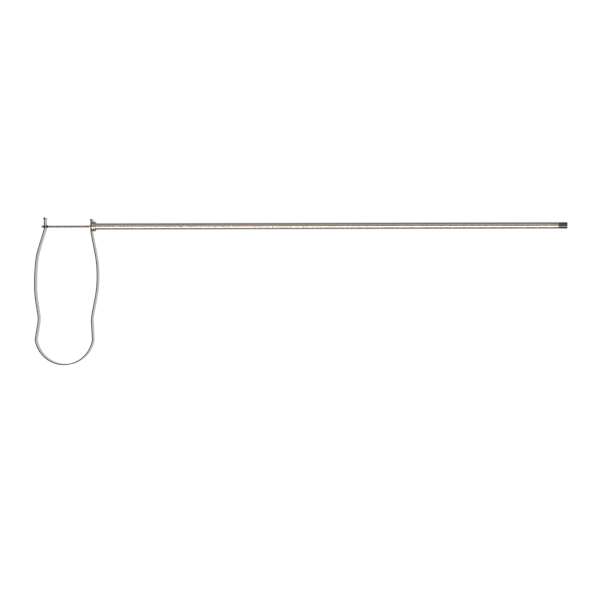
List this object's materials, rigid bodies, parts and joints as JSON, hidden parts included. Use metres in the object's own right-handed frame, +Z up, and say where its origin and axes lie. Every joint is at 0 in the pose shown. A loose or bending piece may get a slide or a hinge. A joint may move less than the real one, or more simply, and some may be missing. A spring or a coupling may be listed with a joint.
{
  "type": "sliding-rod band loop",
  "caption": "Long tube handle with a sliding rod that draws in one end of a waisted flat spring band, so that the loop closes.",
  "frame": {"origin": "on the handle tube's axis, at the rear face of the lock ring, where the bare grip begins", "axes": "+X along the handle towards the pull knob, the loop hangs to -Y, +Z up when the tool lies flat"},
  "size_m": [0.6556, 0.1832, 0.0126],
  "materials": {
    "tube_steel": "drawn, satin",
    "ring_steel": "turned",
    "band_steel": "cold rolled, bright",
    "rod_steel": "ground",
    "bush_brass": "turned",
    "black_nut": "blackened",
    "bright_nut": "polished",
    "washer_steel": "stamped",
    "seal_rubber": "matte",
    "guide_plastic": "matte",
    "knob_black": "moulded, semi-gloss"
  },
  "bodies": {
    "handle": {"main_tube": "tube_steel", "clamp_collar": "ring_steel", "lock_ring": "ring_steel", "guide_bush": "bush_brass", "band_loop": "band_steel", "rear_ferrule": "ring_steel", "rod_seal": "seal_rubber", "rod_guides": "guide_plastic"},
    "slider": {"pull_rod": "rod_steel", "inner_washer": "washer_steel", "rod_jam_nut": "black_nut", "outer_washer": "washer_steel", "dome_nut": "bright_nut", "pull_knob": "knob_black", "knob_set_screw": "black_nut"}
  },
  "joints": [
    {"name": "rod_slide", "type": "slide", "parent": "handle", "child": "slider", "axis": [1, 0, 0], "range_m": [0, 0.0526], "stiffness_N_per_m": 120, "springref_m": -0.004, "deforming": ["band_loop"]}
  ]
}
